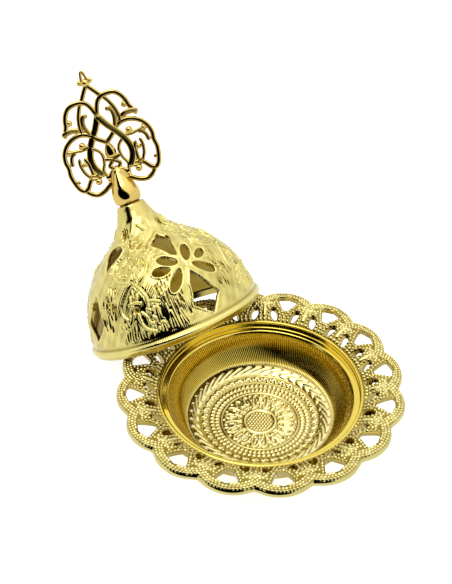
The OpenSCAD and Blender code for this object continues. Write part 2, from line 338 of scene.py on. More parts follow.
def gold(name, light, deep, rough, hatch=0.0, grain=0.02, middle=None):
    """Plated brass: `deep` is painted shade, mixed in where the relief value is low, and fine
    casting lines run up the piece.
    `middle` gives a radius in mm about the Z axis, and the paler colour within it: painted light
    that brightens the bowl's floor in place of the bright reflection it lacks."""
    n = Nodes(name)
    here = n.add("ShaderNodeTexCoord").outputs["Object"]
    relief = n.add("ShaderNodeAttribute", attribute_name="relief").outputs["Fac"]
    cloud = n.noise(60.0, 4.0, here)
    fine = n.noise(1500.0, 3.0, here)
    # painted shade: a low relief value turns the colour to `deep`, a high one to `light`
    share = n.math("ADD", relief, n.span(cloud, 0.3, 0.7, -0.12, 0.12), clamp=True)
    colour = n.mix(share, deep, light)
    # painted light: a paler pair of colours within `middle`'s radius brightens the bowl's floor
    if middle:
        flat = n.add("ShaderNodeVectorMath", {0: here, 1: (1, 1, 0)}, operation="MULTIPLY")
        out = n.add("ShaderNodeVectorMath", {0: flat.outputs[0]}, operation="LENGTH")
        inside = n.span(out.outputs["Value"], (middle[0] - 0.4) * MM, (middle[0] + 0.4) * MM, 1, 0)
        colour = n.mix(inside, colour, n.mix(share, middle[2], middle[1]))
    dull = n.math("ADD", n.span(cloud, 0.3, 0.7, rough[0], rough[1]),
                  n.span(fine, 0.35, 0.65, -0.03, 0.03), clamp=True)
    normal = n.bump(fine, grain * MM, 0.6)
    if hatch:
        turns = n.add("ShaderNodeUVMap", uv_map="turns").outputs["UV"]
        parts = n.add("ShaderNodeSeparateXYZ", {0: turns})
        wobble = n.noise(220.0, 2.0, here)
        along = n.math("MULTIPLY", parts.outputs[0], 2 * math.pi * 300)
        line = n.math("SINE", n.math("ADD", along, n.span(wobble, 0, 1, -1.6, 1.6)))
        broken = n.span(n.noise(900.0, 2.0, here), 0.35, 0.6, 0.25, 1.0)
        low = n.span(parts.outputs[1], 0.46, 0.60, 1.0, 0.06)   # they die out at the neck
        line = n.math("MULTIPLY", line, low)
        normal = n.bump(n.math("MULTIPLY", line, broken), hatch * MM, 1.0, normal)
    return n.drive(Base_Color=colour, Metallic=1.0, Roughness=dull, Normal=normal)


def steel():
    n = Nodes("screw_steel")
    here = n.add("ShaderNodeTexCoord").outputs["Object"]
    stretch = n.add("ShaderNodeMapping", {"Vector": here, "Scale": (900, 900, 60)}).outputs[0]
    lines = n.noise(1.0, 4.0, stretch)
    colour = n.mix(lines, (0.42, 0.42, 0.44), (0.62, 0.62, 0.63))
    return n.drive(Base_Color=colour, Metallic=1.0, Roughness=n.span(lines, 0.3, 0.7, 0.22, 0.4),
                   Normal=n.bump(lines, 0.01 * MM, 0.5))


def felt():
    n = Nodes("base_felt_green")
    here = n.add("ShaderNodeTexCoord").outputs["Object"]
    fibres = n.noise(2600.0, 6.0, here)
    clumps = n.noise(300.0, 3.0, here)
    colour = n.mix(n.math("MULTIPLY", fibres, clumps), (0.008, 0.03, 0.014), (0.05, 0.13, 0.07))
    n.shader.inputs["Sheen Weight"].default_value = 0.5
    n.shader.inputs["Sheen Roughness"].default_value = 0.5
    return n.drive(Base_Color=colour, Roughness=0.95, Normal=n.bump(fibres, 0.15 * MM))


# each pair: the lit colour, then the painted shade colour that shows where the relief value is low
PALE, PALE_SHADE = (0.84, 0.73, 0.25), (0.25, 0.16, 0.012)
RICH, RICH_SHADE = (0.83, 0.65, 0.12), (0.26, 0.15, 0.01)
WARM, WARM_SHADE = (0.83, 0.62, 0.18), (0.36, 0.17, 0.02)
collar_gold = gold("collar_gilt", (0.84, 0.75, 0.30), PALE_SHADE, (0.08, 0.15))
# the bowl's floor takes brighter colours within 34.6 mm: painted light
bowl_gold = gold("bowl_gilt", RICH, RICH_SHADE, (0.07, 0.14),
                 middle=(34.6, (0.97, 0.87, 0.42), (0.42, 0.30, 0.04)))
foot_gold = gold("foot_gilt", RICH, RICH_SHADE, (0.14, 0.26))
dome_gold = gold("lid_gilt", PALE, PALE_SHADE, (0.09, 0.16), hatch=0.018)
knob_gold = gold("finial_gilt", WARM, WARM_SHADE, (0.05, 0.10), grain=0.004)
# the crest's nearly black painted shade darkens its grooves and the middles of its strands
crest_gold = gold("crest_gilt", WARM, (0.05, 0.025, 0.006), (0.06, 0.12), grain=0.008)

# ---------------------------------------------------------------- collar

half = PITCH / 2
notch_x, notch_y = NOTCH_R * math.cos(half), NOTCH_R * math.sin(half)
lobe_sag = LOBE_TIP - notch_x
lobe_r = (lobe_sag**2 + notch_y**2) / (2 * lobe_sag)
lobe_c = LOBE_TIP - lobe_r
COLLAR_TURN = math.radians(-1.3)
ROLL = 2.0              # width of the rolled edge
EDGE_Z = SEAT_Z + 4.7   # its lowest point
BEAD_R, BEAD_HIGH = 0.78, 0.52

PER_HALF = 45           # grid columns in half a lobe
collar_cols = 2 * LOBES * PER_HALF
fold = np.minimum(np.arange(collar_cols) % (2 * PER_HALF),
                  2 * PER_HALF - np.arange(collar_cols) % (2 * PER_HALF))
half_angle = np.arange(PER_HALF + 1) / PER_HALF * half   # from a notch to a lobe's middle
off_lobe = half - half_angle
rim_r = lobe_c * np.cos(off_lobe) + np.sqrt(lobe_r**2 - (lobe_c * np.sin(off_lobe)) ** 2)
rim_r = rim_r + 0.35 * np.exp(-(half_angle / math.radians(1.1)) ** 2)  # eases the notch

crown = smooth([[COLLAR_IN, 3.0], [50.6, 5.0], [54.4, 6.7], [57.6, 7.2], [62, 7.45],
                [64.2, 7.6], [66, 7.65], [69, 7.65]])
belly = np.array([[COLLAR_IN, -0.4], [50.8, -0.4], [52.4, 3.4], [54.4, 4.4], [57.6, 4.9],
                  [63.0, 5.2], [69, 5.2]])


def crown_z(r):
    return SEAT_Z + np.interp(r, crown[:, 0], crown[:, 1])


def belly_z(r):
    return SEAT_Z + np.interp(r, belly[:, 0], belly[:, 1])


TRIANGLE = np.array([[53.2, -1.3], [59.4, -5.0], [60.6, -4.8], [61.4, -1.8], [62.0, 0],
                     [61.4, 1.8], [60.6, 4.8], [59.4, 5.0], [53.2, 1.3]])


def turned(points, angle):
    c, s = math.cos(angle), math.sin(angle)
    return points @ np.array([[c, s], [-s, c]])


ring16 = np.linspace(0, 2 * np.pi, 16, endpoint=False)
oval = np.stack([3.1 * np.cos(ring16), 1.65 * np.sin(ring16)], 1)
OVAL = turned(turned(oval, math.radians(-24)) + [50.9, 0], math.radians(5.4))
collar_holes = [turned(TRIANGLE, half), OVAL, OVAL * [1, -1], turned(OVAL * [1, -1], PITCH)]


def hole_gap(x, y):
    return np.min([outside(x, y, h) for h in collar_holes], 0)


def collar_rows(flat_rows, roll_rows, tuck_rows):
    """Radius and height over half a lobe, from under the edge, over it and in to the bowl."""
    edge = rim_r[:, None]
    under = np.linspace(np.pi, np.pi / 2, tuck_rows, endpoint=False)
    over = np.linspace(np.pi / 2, 0, roll_rows, endpoint=False)
    drop = crown_z(edge) - (EDGE_Z + 0.5)
    r_tuck = edge - 1.5 * (1 - np.sin(under))
    z_tuck = EDGE_Z + 0.5 + 0.5 * np.cos(under)
    r_roll = edge - ROLL * (1 - np.sin(over))
    z_roll = crown_z(r_roll) - drop * (1 - np.cos(over))
    r_flat = (edge - ROLL) + (COLLAR_IN - edge + ROLL) * np.linspace(0, 1, flat_rows)
    z_flat = crown_z(r_flat)
    r = np.hstack([r_tuck + 0 * edge, r_roll, r_flat])
    z = np.hstack([z_tuck + 0 * edge, z_roll, z_flat])
    return r, z


def bead_places():
    """Middles of the cast beads over half a lobe: rows along the edges, then a close fill."""
    rows = []
    a = np.linspace(0, half, 10)
    for r in (COLLAR_IN + 0.9, COLLAR_IN + 2.3):
        rows += [[r * math.cos(t), r * math.sin(t)] for t in a]
    centre = np.array([lobe_c * math.cos(half), lobe_c * math.sin(half)])
    for inset in (1.4, 2.8, 4.1):
        r = lobe_r - inset
        for t in np.arange(-2.2, 2.2, 1.55 / r):
            rows.append(centre + [r * math.cos(half + t), r * math.sin(half + t)])
    for outline, gap in ((collar_holes[0], 0.95), (OVAL, 0.85)):
        ring = evenly(np.vstack([outline, outline[:1]]), 1.35)[:-1]
        middle = outline.mean(0)
        for p in ring:
            away_from = (p - middle) / np.hypot(*(p - middle))
            rows.append(p + away_from * gap)
    fill = [[r * math.cos(t), r * math.sin(t)]
            for k, r in enumerate(np.arange(COLLAR_IN + 3.4, LOBE_TIP, 0.35))
            for t in np.arange(0, half, 0.4 / r) + 0.1 * (k % 3) / r]
    taken = []
    for p, least in [(p, 1.25) for p in rows] + [(p, 1.42) for p in fill]:
        x, y = p
        t = math.atan2(y, x)
        if t < -0.002 or t > half + 0.002 or hole_gap(np.array(x), np.array(y)) < 0.62:
            continue
        if math.hypot(x, y) > np.interp(t, half_angle, rim_r) - 1.25:
            continue
        if all((x - q[0]) ** 2 + (y - q[1]) ** 2 > least**2 for q in taken):
            taken.append((x, y))
    own = np.array(taken)
    return np.vstack([own, own * [1, -1], turned(own * [1, -1], PITCH)])


def beads(x, y, places, radius, height):
    """Rounded bumps of slightly uneven size."""
    out = np.zeros(x.shape)
    for px, py in places:
        size = 1 + 0.16 * math.sin(7.3 * px + 11.9 * abs(py))
        out = np.maximum(out, dome(np.hypot(x - px, y - py), radius * size, height * size))
    return out


def full_circle(half_r, half_z):
    """Grid of points all round from radius and height over half a lobe."""
    angle = np.arange(collar_cols) / collar_cols * 2 * np.pi
    r, z = half_r[fold], half_z[fold]
    return np.stack([r * np.cos(angle)[:, None], r * np.sin(angle)[:, None], z], -1)


def make_collar():
    r, z = collar_rows(70, 12, 5)
    x, y = r * np.cos(half_angle)[:, None], r * np.sin(half_angle)[:, None]
    gap = hole_gap(x, y)
    height = beads(x, y, bead_places(), BEAD_R, BEAD_HIGH)
    leaf = np.array([[50.2, 0], [53.6, 0]])          # small fleur between each pair of ovals
    side_leaf = smooth([[54.6, 0], [56.0, 0.9], [56.4, 2.2]], 4)
    fleur = np.maximum(dome(away(x, y, leaf), 1.0, 0.6), dome(away(x, y, side_leaf), 0.7, 0.5))
    height = np.where(fleur > 0.05, np.maximum(fleur, 0.3 * height), height)
    on_top = 1 - step(crown_z(r) - z, 0.1, 0.9)
    height = height * on_top * step(gap, 0.1, 0.6)
    lip = 0.3 * (1 - step(gap, 0.0, 0.5))
    # painted shade: the flats between the beads take the darker colour, the bead tops the lit one
    relief = np.clip(0.1 + height / BEAD_HIGH * 0.9, 0, 1) * on_top + 0.8 * (1 - on_top)
    base = full_circle(r, z)
    top = base + normals(base) * (height - lip)[fold][..., None]
    back = full_circle(r, np.minimum(z - 1.0, belly_z(r)))
    turns = np.stack([np.broadcast_to(np.arange(collar_cols)[:, None] / collar_cols,
                                      base.shape[:2]), r[fold]], -1)
    skin = Skin().cut(top, gap[fold], back, relief[fold], turns)

    thin = slice(None, None, 3)                       # the underside, at a third of the detail
    inner = rim_r[:, None] - np.array([1.5, 2.1, 2.3, 2.5])
    ceil_r = np.hstack([inner, (rim_r[:, None] - 2.5) + (COLLAR_IN + 0.1 - rim_r[:, None] + 2.5)
                        * np.linspace(0, 1, 30)[1:]])
    ceil_z = belly_z(ceil_r)
    ceil_z[:, :3] = EDGE_Z + np.array([0.0, 0.1, 0.3])
    cx, cy = ceil_r * np.cos(half_angle)[:, None], ceil_r * np.sin(half_angle)[:, None]
    under = full_circle(ceil_r, ceil_z)[thin]
    a, b, t, faces, _ = cut_grid(hole_gap(cx, cy)[fold][thin])
    flat = under.reshape(-1, 3)
    # painted shade: the underside and the hub take a low relief value of 0.3
    skin.add(flat[a] + t[:, None] * (flat[b] - flat[a]), faces, 0.3, flip=True)
    hub = lathe(np.array([[COLLAR_IN, SEAT_Z + 3.0], [COLLAR_IN, SEAT_Z - 0.4]]), 192)
    skin.grid(hub, 0.3)
    skin.piece("collar_cast", "base", ["collar"], "collar_gilt", collar_gold,
               lambda points: points @ about_z(COLLAR_TURN).T)


# ---------------------------------------------------------------- bowl

FLOOR_R = 34.0
RIB_HIGH = 0.24
dish = smooth([[0, -19.8], [10, -19.4], [22.4, -18.3], [FLOOR_R + 0.3, -14.1]], 10)


def strokes_round(r, a, count, strokes, radius, height, mirror=True):
    """Raised strokes, given as (degrees, radius) points, repeated round the middle."""
    unit = 2 * np.pi / count
    b = (a + unit / 2) % unit - unit / 2
    b = np.abs(b) if mirror else b
    x, y = r * np.cos(b), r * np.sin(b)
    best = np.full(x.shape, 1e9)
    for stroke in strokes:
        p = smooth(stroke, 5)
        t = np.radians(p[:, 0])
        best = np.minimum(best, away(x, y, np.stack([p[:, 1] * np.cos(t),
                                                     p[:, 1] * np.sin(t)], 1)))
    return dome(best, radius, height)


def floor_relief(x, y):
    """Height of the bowl's embossed floor: pearls, scrolls, square pearls, leaves and rope."""
    r, a = np.hypot(x, y), np.arctan2(y, x)
    p = 1.5                                           # spacing of the middle's pearls
    q = p * math.sqrt(3)
    cells = [np.hypot((x + s * p / 2 + p / 2) % p - p / 2, (y + s * q / 2 + q / 2) % q - q / 2)
             for s in (0, 1)]
    h = dome(np.minimum(*cells), 0.66, 0.42) * (r < 5.9)
    h = np.maximum(h, dome(np.abs(r - 7.3), 0.85, 0.5))
    h = np.maximum(h, dome(np.abs(r - 18.3), 0.4, 0.3))
    volute = [[1.6, 9.0], [1.8, 12.2], [5.0, 15.4], [10.0, 16.6], [14.6, 15.2], [15.2, 12.9],
              [12.0, 11.7], [9.4, 12.7], [9.9, 14.2]]
    stem = [[18.0, 9.4], [18.0, 12.0], [16.8, 14.6], [18.0, 16.8]]
    h = np.maximum(h, strokes_round(r, a, 10, [volute, stem], 0.62, 0.55))
    for at, deg, size in ((16.9, 0.0, 0.75), (10.2, 8.0, 0.6), (10.4, 14.5, 0.5),
                          (14.1, 0.0, 0.55), (8.9, 5.5, 0.5)):
        dot = [[deg, at], [deg + 0.05, at]]
        h = np.maximum(h, strokes_round(r, a, 10, [dot], size, 0.5))
    count = 64
    unit = 2 * np.pi / count
    b = (a + unit / 2) % unit - unit / 2
    for ring, wide in ((20.2, 0.82), (22.5, 0.92)):
        d = (np.abs(b * r) / wide) ** 3 + (np.abs(r - ring) / 1.02) ** 3
        h = np.maximum(h, 0.55 * np.clip(1 - d, 0, 1) ** 0.6)
    leaf = [[-3.0, 25.0], [-1.6, 26.4], [0.8, 26.6], [1.6, 25.4]]
    h = np.maximum(h, strokes_round(r, a, 38, [leaf], 0.72, 0.55, mirror=False))
    h = np.maximum(h, strokes_round(r, a, 38, [[[3.8, 26.2], [3.9, 26.2]]], 0.75, 0.5,
                                    mirror=False))
    across = (r - 30.8) / 2.7
    strand = a * 40 / (2 * np.pi) + 0.3 * across + 0.42 * np.sin(np.pi * np.clip(across, -1, 1))
    rope = 0.6 * np.abs(np.cos(np.pi * strand)) ** 0.5 * np.sqrt(np.clip(1 - across**2, 0, 1))
    return np.maximum(h, rope)


def make_bowl():
    seat = [[48.4, SEAT_Z + 2.7], [47.4, SEAT_Z + 3.0], [46.9, SEAT_Z + 3.3],
            [46.0, SEAT_Z + 3.0], [46.0, SEAT_Z], [43.3, SEAT_Z], [42.8, SEAT_Z - 0.5],
            [42.5, SEAT_Z - 1.0]]
    skin = Skin()
    seat = rounded(seat, 0.4)
    skin.grid(lathe(seat, 256), 0.95, spun(seat, 256))

    wall = evenly(smooth([[42.5, -1.0], [41.8, -4.0], [40.0, -8.0], [37.4, -11.4],
                          [35.2, -13.5], [FLOOR_R, -14.1]]), 0.55)
    ribs, per = 256, 5
    cols = ribs * per
    grid = lathe(wall + [0, SEAT_Z], cols)
    s = length_along(wall)
    turn = np.arange(cols)[:, None] / cols
    lean = turn * ribs + s * 0.22
    ridge = 0.5 + 0.5 * np.cos(2 * np.pi * lean)
    knurl = 0.5 + 0.5 * np.cos(2 * np.pi * s / 1.1 + np.pi * np.round(lean))
    height = (RIB_HIGH * ridge * (0.6 + 0.4 * knurl)) * step(s, 0, 0.6)
    # painted shade: the grooves between the ribs take the darker colour
    skin.grid(grid + normals(grid) * height[..., None], 0.05 + 0.95 * height / RIB_HIGH,
              np.stack([turn + 0 * s, s + 0 * turn], -1))

    cell = 0.25
    n = int(2 * (FLOOR_R + 0.6) / cell)
    line = (np.arange(n) - (n - 1) / 2) * cell
    x, y = np.meshgrid(line, line, indexing="ij")
    r = np.hypot(x, y)
    h = floor_relief(x, y)
    z = SEAT_Z + np.interp(r, dish[:, 0], dish[:, 1]) + h
    points = np.stack([x, y, z], -1)
    a, b, t, faces, _ = cut_grid(FLOOR_R + 0.15 - r, wrap=False)
    # painted shade: low parts of the floor take the darker colour, raised ones the lit
    flat, tone = points.reshape(-1, 3), np.clip(0.2 + h / 0.5 * 0.8, 0, 1).ravel()
    skin.add(flat[a] + t[:, None] * (flat[b] - flat[a]), faces, tone[a])

    shell = rounded([[0, -21.3], [10, -20.9], [22.8, -19.8], [35, -15.8], [38.8, -12.6],
                     [41.7, -8.6], [43.7, -4.2], [44.2, -2.2], [50.4, -2.2], [50.4, -0.4],
                     [47.4, -0.4], [47.4, 2.9]], 0.4) + [0, SEAT_Z]
    skin.grid(lathe(shell, 192), 0.6, spun(shell, 192))
    skin.piece("bowl_embossed", "base", ["bowl"], "bowl_gilt", bowl_gold)


# ---------------------------------------------------------------- foot

def make_foot():
    ring = rounded([[24.4, 0.8], [29.6, 0.8], [30, 1.3], [29.5, 2.1], [28.2, 2.9], [27.8, 4.24],
                    [24.4, 3.12]], 0.3, closed=True)
    cols = 192
    Skin().grid(lathe(ring, cols), 0.8, spun(ring, cols)).piece(
        "foot_turned", "base", ["foot"], "foot_gilt", foot_gold)
    pad = evenly(smooth([[0.01, 0.02], [14, 0.02], [28.5, 0.02], [28.95, 0.2], [29.0, 0.4],
                         [28.9, 0.76], [14, 0.8], [0.01, 0.8]], 6), 0.5)
    grid = lathe(pad, 240)
    fuzz = 0.03 * np.sin(grid[..., 0] * 3.1) * np.sin(grid[..., 1] * 2.7)
    edge = step(np.hypot(grid[..., 0], grid[..., 1]), 20, 28)
    Skin().grid(grid - normals(grid) * (fuzz * edge)[..., None]).piece(
        "felt_pad", "base", ["base_felt"], "felt", felt())


# ---------------------------------------------------------------- lid

LEAN_TILT, LEAN_DIR, LEAN_SPIN = (math.radians(a) for a in (32.8, 132.5, -121.1))
LID_SCALE, LID_R = 0.984, 44.2
JOINT_H = 65.4
MOTIF_TURN = 27.5       # degrees from the crest's face to the first pierced motif
DOME_T = 1.75


LEAN = about_z(LEAN_DIR) @ about_y(LEAN_TILT) @ about_z(LEAN_SPIN)
RIM_MIDDLE = np.array([-42.3, 46.5, LID_SCALE * (LID_R * math.sin(LEAN_TILT)
                                                 - 0.3 * math.cos(LEAN_TILT))])


def leaning(points):
    """From the upright lid, with its rim on z = 0, to where it rests."""
    return points @ LEAN.T * LID_SCALE + RIM_MIDDLE


onion = smooth([[43.6, 0], [44.2, 0.3], [44.8, 1.6], [45.1, 3.2], [44.6, 4.4], [43.9, 6.8],
                [43.1, 10.2], [42.3, 12.8], [41.5, 17.4], [40.3, 21.8], [38.8, 25.8],
                [36.6, 30.0], [34.2, 33.4], [31.2, 37.0], [27.4, 40.8], [23.2, 44.1],
                [18.6, 47.3], [15.0, 50.6], [12.2, 54.2], [10.0, 58.0], [8.3, 61.8],
                [7.1, 65.0], [6.3, JOINT_H]], 6)
onion_s = length_along(onion)


def onion_r(h):
    return np.interp(h, onion[:, 1], onion[:, 0])


def onion_at(h):
    return np.interp(h, onion[:, 1], onion_s)


def on_onion(p):
    return np.array([onion_r(p[1]) * math.sin(math.radians(p[0])), p[1]])


def petal(a, b, width):
    """Petal outline from a to b, rounder at the b end."""
    a, b = on_onion(a), on_onion(b)
    d = b - a
    n = np.array([-d[1], d[0]]) / np.hypot(*d)
    k = np.radians(np.arange(0, 360, 15))
    t = (1 - np.cos(k)) / 2
    return a + np.outer(t, d) + np.outer(width / 2 * np.sin(k) * (0.8 + 0.3 * t), n)


# piercings: [degrees from the motif's middle, height above the rim]
FAN_A = [[-19.1, 44.8], [-13.4, 46.4], [-9.3, 46.8], [-6.1, 47.8], [-1.9, 48.3], [-0.6, 47.2],
         [4.7, 45.9], [8.6, 46.5], [9.2, 45.4], [7.1, 44.5], [3.2, 42.6], [1.6, 40.5],
         [-0.2, 38.1], [-2.2, 37.2], [-6.5, 38.5], [-8.7, 40.5], [-15.3, 43.6]]
SPEAR_A = [[-0.5, 28.7], [3.6, 24.5], [7.1, 19.3], [9.8, 16.6], [10.8, 14.1], [8.7, 13.1],
           [3.8, 9.5], [1.0, 7.0], [-4.6, 10.5], [-9.6, 13.9], [-6.8, 18.5], [-5.0, 24.0]]
FAN_B = [[-2, 46.5], [6, 48.2], [14, 48.8], [22, 48.3], [29, 46.5], [26.6, 44.8], [21.6, 43.2],
         [17, 41.4], [13, 39.4], [10.5, 41.4], [7, 43.6], [1.5, 45.3]]
SPEAR_B = [[5.4, 30.8], [8.6, 28.2], [10.9, 24.0], [13.6, 17.7], [10.2, 14.6], [1.6, 9.8],
           [-2.2, 13.1], [-9.8, 18.0], [-1.4, 24.2], [1.6, 28.2]]
PETALS = [[[-4.8, 34.4], [-20.6, 38.0], 4.4], [[-13.4, 33.0], [-28.0, 33.1], 3.9],
          [[-6.6, 31.4], [-18.8, 22.9], 4.6], [[1.9, 33.6], [12.7, 39.8], 4.4],
          [[10.6, 32.9], [22.6, 34.4], 3.6], [[4.6, 31.3], [17.8, 23.9], 4.4]]
lid_holes = [                                         # for the two kinds of motif, in turn
    [np.array([on_onion(p) for p in FAN_A]), np.array([on_onion(p) for p in SPEAR_A])]
    + [petal(*p) for p in PETALS],
    [np.array([on_onion(p) for p in FAN_B]), np.array([on_onion(p) for p in SPEAR_B])]]

# embossed strokes: half width, height, then [degrees from the motif's middle, height]
EMBOSSED = [
    # pointed oval with its bar and stamens
    (0.62, 0.55, [[-0.8, 33], [-4.9, 31.2], [-9.7, 27.5], [-12.4, 24], [-12.1, 20.5],
                  [-9.1, 17.7]]),
    (0.62, 0.55, [[-0.8, 33], [3.1, 30.9], [6.4, 27.8], [8.3, 24.3], [7.6, 20.7]]),
    (0.55, 0.5, [[-4, 24.7], [-3.6, 27.2]]),
    (0.55, 0.5, [[0.7, 24.5], [1.8, 27.5]]),
    (0.5, 0.4, [[-1.5, 26.3], [-1.3, 29.4]]),
    (0.6, 0.5, [[-5.8, 23.9], [-0.8, 24.2], [3.2, 23.4]]),
    # leaves that sweep down from it
    (0.6, 0.5, [[-3.5, 19.4], [-5.2, 15.8], [-9.8, 13.1], [-13.4, 12.2]]),
    (0.6, 0.5, [[-6.5, 18.9], [-9.2, 16.4], [-13.9, 15]]),
    (0.62, 0.55, [[-0.5, 19.2], [-0.3, 14.8], [2.4, 11.3], [7.3, 9.3]]),
    (0.55, 0.5, [[2.1, 19.2], [4.6, 17.1], [5.3, 14.1], [8.4, 13], [9.9, 14.8], [8.6, 16.1]]),
    (0.5, 0.45, [[10.9, 11.6], [13.4, 12.4], [15.4, 11.2]]),
    (0.5, 0.45, [[6.1, 20.2], [9.1, 19.1], [12.1, 19.9], [14.1, 18.2]]),
    (0.5, 0.45, [[8.2, 23.3], [12.2, 22.7], [15.6, 21.4]]),
    # loops above
    (0.62, 0.5, [[-13.2, 43.8], [-18.2, 43.3], [-21.6, 40.8], [-20, 37.8], [-14.2, 35],
                 [-6.3, 33.6]]),
    (0.5, 0.4, [[-16.5, 41.3], [-17.3, 39.5], [-13.1, 36.8], [-7.2, 35.5]]),
    (0.6, 0.5, [[13.7, 42], [15.1, 38.4], [11.1, 34.9], [5.6, 32.7]]),
    (0.5, 0.45, [[2.6, 39.6], [1.6, 37], [2.5, 34.2]]),
    (0.55, 0.5, [[6.8, 39], [8.9, 41], [11.7, 40.4], [12.3, 38.5]]),
    (0.5, 0.45, [[-8.8, 40.2], [-5.1, 42.4], [-0.8, 41.7], [1.5, 39.7]]),
    # small arch near the neck
    (0.5, 0.5, [[2.3, 51.5], [8.1, 53.7], [15.3, 55.3], [22.4, 53.8], [28, 52]]),
]
PIT_AT, PIT_R, PIT_DEPTH = [-1.6, 21.0], 1.5, 0.9       # sunk in the pointed oval
BORDER_WIDE, BORDER_DEEP = 2.2, 0.22     # a sunk border sets each stroke off
STROKE_WIDE, STROKE_HIGH = 1.1, 1.5      # shares of the listed half widths and heights


def ring_segment(points):
    """A curve through (degrees, height) points, laid out flat in mm across and up the dome."""
    p = smooth(points, 4)
    return np.stack([np.radians(p[:, 0]) * onion_r(p[:, 1]), onion_at(p[:, 1])], 1)


def lid_relief(deg, h):
    """Height of the embossing, at degrees from an embossed motif's middle."""
    x, s = np.radians(deg) * onion_r(h), onion_at(h)
    out = 0.10 * np.sin(x * 0.55 + 0.4) * np.sin(s * 0.5) + 0.06 * np.sin(x * 1.3 - s * 0.9)
    rng = np.random.default_rng(4)

    def raise_(line, radius, height):
        nonlocal out
        lo, hi = line.min(0) - 1.5, line.max(0) + 1.5
        near = (x > lo[0]) & (x < hi[0]) & (s > lo[1]) & (s < hi[1])
        out[near] = out[near] + dome(away(x[near], s[near], line), radius, height)

    for radius, height, points in EMBOSSED:
        line = ring_segment(points)
        raise_(line, radius * BORDER_WIDE, -BORDER_DEEP)
        raise_(line, radius * STROKE_WIDE, height * STROKE_HIGH)
    raise_(ring_segment([PIT_AT, [PIT_AT[0] + 0.4, PIT_AT[1]]]), PIT_R, -PIT_DEPTH)
    for low, high, bottom, top, count in (
            (-30, -16, 13, 33, 34), (16, 33, 12, 32, 26), (-26, -3, 44, 54, 20)):
        for _ in range(count):                        # short sunk dashes
            d, z = rng.uniform(low, high), rng.uniform(bottom, top)
            long = rng.uniform(0.8, 1.5)
            raise_(ring_segment([[d, z - long], [d + rng.uniform(-0.5, 0.5), z + long]]),
                   0.42, -0.42)
    for d in np.arange(-13, 30, 1.9):                 # ribs that rise from the foot band
        z0, z1 = 7.6 + rng.uniform(0, 1.5), rng.uniform(13, 24)
        slant = rng.uniform(-1.2, 1.2)
        raise_(ring_segment([[d, z0], [d + slant, (z0 + z1) / 2], [d + slant * 1.6, z1]]),
               0.42, 0.32)
    for _ in range(90):                               # pearls round the upper loops
        d, z = rng.uniform(-27, 27), rng.uniform(35.5, 51)
        raise_(ring_segment([[d, z], [d + 0.1, z]]), 0.55, 0.42)
    return out


def make_dome():
    skin = Skin()
    for low, high, per_motif, spacing in ((0, 49.8, 225, 0.4), (49.8, JOINT_H, 90, 0.4)):
        s = np.arange(onion_at(low), onion_at(high), spacing)
        s = np.append(s, onion_at(high))
        r, h = (np.interp(s, onion_s, onion[:, k]) for k in (0, 1))
        deg = np.arange(2 * per_motif) / per_motif * 90
        near = [np.radians((deg + 90 - turn) % 180 - 90)[:, None] for turn in (0, 90)]
        gap = np.min([outside(r * np.sin(a), h + 0 * a, o)
                      for a, holes in zip(near, lid_holes) for o in holes], 0)
        bare = 1 - step(h, 57, 60) * 0.9
        banded = step(h, 6.2, 7.6)
        emboss = lid_relief(deg[:, None] % 90 - 45 + 0 * h, h + 0 * deg[:, None]) * bare * banded
        emboss = emboss * step(gap, 0.2, 1.3) + dome(gap - 0.55, 0.55, 0.3) * (gap < 1.2)
        emboss = emboss + dome(h - 3.1, 1.3, 0.25) - dome(h - 5.3, 0.8, 0.3)
        emboss -= 0.3 * (1 - step(gap, 0, 0.3))
        emboss, gap = np.tile(emboss, (2, 1)), np.tile(gap, (2, 1))
        cols = 4 * per_motif
        psi = np.arange(cols) / cols * 2 * np.pi + math.radians(MOTIF_TURN)
        base = np.stack([r * np.sin(psi)[:, None], -r * np.cos(psi)[:, None],
                         h + 0 * psi[:, None]], -1)
        out = normals(base)
        turns = np.stack([psi[:, None] / (2 * np.pi) + 0 * h, s / 100 + 0 * psi[:, None]], -1)
        # painted shade: sunk parts take the darker colour, raised ones the lit
        tone = np.clip(0.8 + emboss * 1.6, 0, 1)
        top = base + out * emboss[..., None]
        skin.cut(top, gap, base - out * DOME_T, tone, turns)
        # painted shade: the inside of the dome takes a relief value of 0.05, nearly all the shaded
        # colour
        if high < JOINT_H:
            thin = slice(None, None, 3)
            inner = (base - out * DOME_T)[thin, ::2]
            a, b, t, faces, _ = cut_grid(gap[thin, ::2])
            flat = inner.reshape(-1, 3)
            skin.add(flat[a] + t[:, None] * (flat[b] - flat[a]), faces, 0.05, flip=True)
        else:
            inner = (base - out * DOME_T)[:, : int(5.5 / spacing)]
            skin.grid(inner, 0.05, flip=True)
            cap = inner[:, -1]
            skin.grid(np.stack([cap, cap * [0.2, 0.2, 1]], 1), 0.05, flip=True)
    lip = lathe(rounded([[42.4, 3.1], [42.4, 0.05], [43.6, 0.0]], 0.3), 256)
    skin.grid(lip, 0.4)
    skin.piece("lid_embossed", "lid", ["lid_dome"], "lid_gilt", dome_gold, leaning)


# ---------------------------------------------------------------- knob and crest

def make_knob():
    j = JOINT_H
    profile = np.vstack([
        rounded([[6.2, j - 0.02], [5.2, j + 0.1], [5.2, j + 0.5], [6.1, j + 0.8]], 0.2),
        smooth([[6.3, j + 1.0], [6.9, j + 2.6], [7.1, j + 4.6], [6.9, j + 6.6], [6.2, j + 9.0],
                [5.1, j + 11.4], [3.9, j + 13.8], [2.5, j + 16.4], [1.2, j + 18.4],
                [0.02, j + 19.2]], 6)])
    cols = 128
    # painted shade: the sunk ring at the knob's foot takes the full shaded colour
    tone = np.where(profile[:, 1] < j + 0.9, 0.0, 0.9)
    Skin().grid(lathe(profile, cols), np.tile(tone, (cols, 1)), spun(profile, cols)).piece(
        "knob_acorn", "lid", ["finial_knob"], "finial_gilt", knob_gold, leaning)


CREST_T = 2.6
CREST_TURN, CREST_LEAN = math.radians(-3), math.radians(1.3)
CREST_H = 80                                          # the height it leans about
CREST_SHIFT = (0.3, -0.6)                             # across and up

